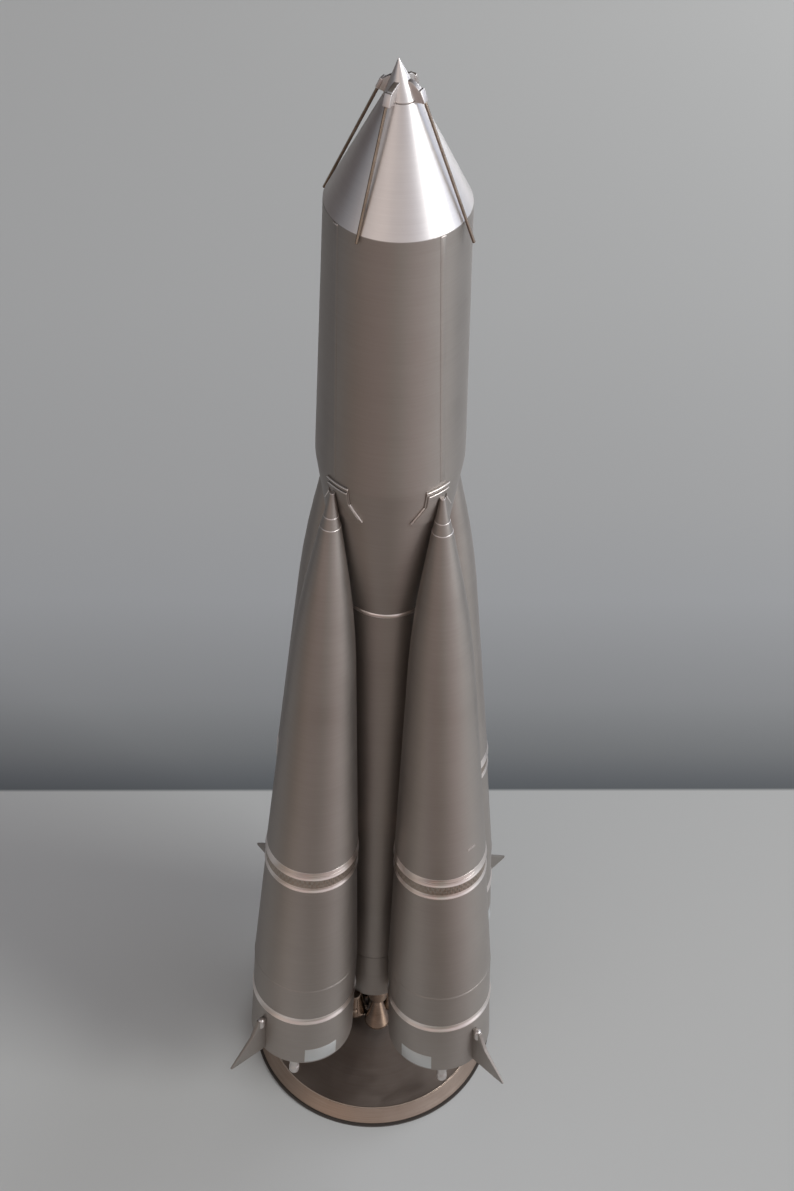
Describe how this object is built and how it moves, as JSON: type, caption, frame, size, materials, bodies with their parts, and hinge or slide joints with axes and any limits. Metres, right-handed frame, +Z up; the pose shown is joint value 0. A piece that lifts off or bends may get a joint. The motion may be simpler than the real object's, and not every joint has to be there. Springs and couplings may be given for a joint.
{
  "type": "desk model of a four-booster space rocket",
  "caption": "Satin metal desk model of a space rocket with tapered boosters leaning on its core stage, standing on a round bronze base.",
  "frame": {"origin": "middle of the round base's underside, on the table", "axes": "+Z up along the core stage; the boosters stand on the diagonals between X and Y; -Y is close to the side that faces the viewer in the picture"},
  "size_m": [0.0992, 0.0992, 0.4258],
  "materials": {
    "satin_body": "satin, bead blasted",
    "bright_cone": "fine turned",
    "polished_ring": "polished",
    "knurled_band": "knurled",
    "antenna_wire": "drawn wire",
    "nozzle": "turned",
    "base_top": "dark bronze patina",
    "post_steel": "turned"
  },
  "bodies": {
    "root": {"stand_base": "base_top", "stand_post": "post_steel", "core_tail_tank": "satin_body", "core_ring": "polished_ring", "core_taper": "satin_body", "core_upper_tank": "satin_body", "nose_cone": "bright_cone", "nose_fairing": "bright_cone", "core_engine": "nozzle", "antenna_bracket_front_right": "bright_cone", "antenna_rod_front_right": "antenna_wire", "booster_skirt_front_right": "satin_body", "booster_lower_tank_front_right": "satin_body", "booster_band_front_right": "knurled_band", "booster_upper_tank_front_right": "satin_body", "booster_nose_front_right": "satin_body", "booster_fin_front_right": "satin_body", "booster_engine_front_right": "nozzle", "booster_pad_front_right": "satin_body", "antenna_bracket_back_right": "bright_cone", "antenna_rod_back_right": "antenna_wire", "booster_skirt_back_right": "satin_body", "booster_lower_tank_back_right": "satin_body", "booster_band_back_right": "knurled_band", "booster_upper_tank_back_right": "satin_body", "booster_nose_back_right": "satin_body", "booster_fin_back_right": "satin_body", "booster_engine_back_right": "nozzle", "booster_pad_back_right": "satin_body", "antenna_bracket_back_left": "bright_cone", "antenna_rod_back_left": "antenna_wire", "booster_skirt_back_left": "satin_body", "booster_lower_tank_back_left": "satin_body", "booster_band_back_left": "knurled_band", "booster_upper_tank_back_left": "satin_body", "booster_nose_back_left": "satin_body", "booster_fin_back_left": "satin_body", "booster_engine_back_left": "nozzle", "booster_pad_back_left": "satin_body", "antenna_bracket_front_left": "bright_cone", "antenna_rod_front_left": "antenna_wire", "booster_skirt_front_left": "satin_body", "booster_lower_tank_front_left": "satin_body", "booster_band_front_left": "knurled_band", "booster_upper_tank_front_left": "satin_body", "booster_nose_front_left": "satin_body", "booster_fin_front_left": "satin_body", "booster_engine_front_left": "nozzle", "booster_pad_front_left": "satin_body"}
  },
  "joints": []
}
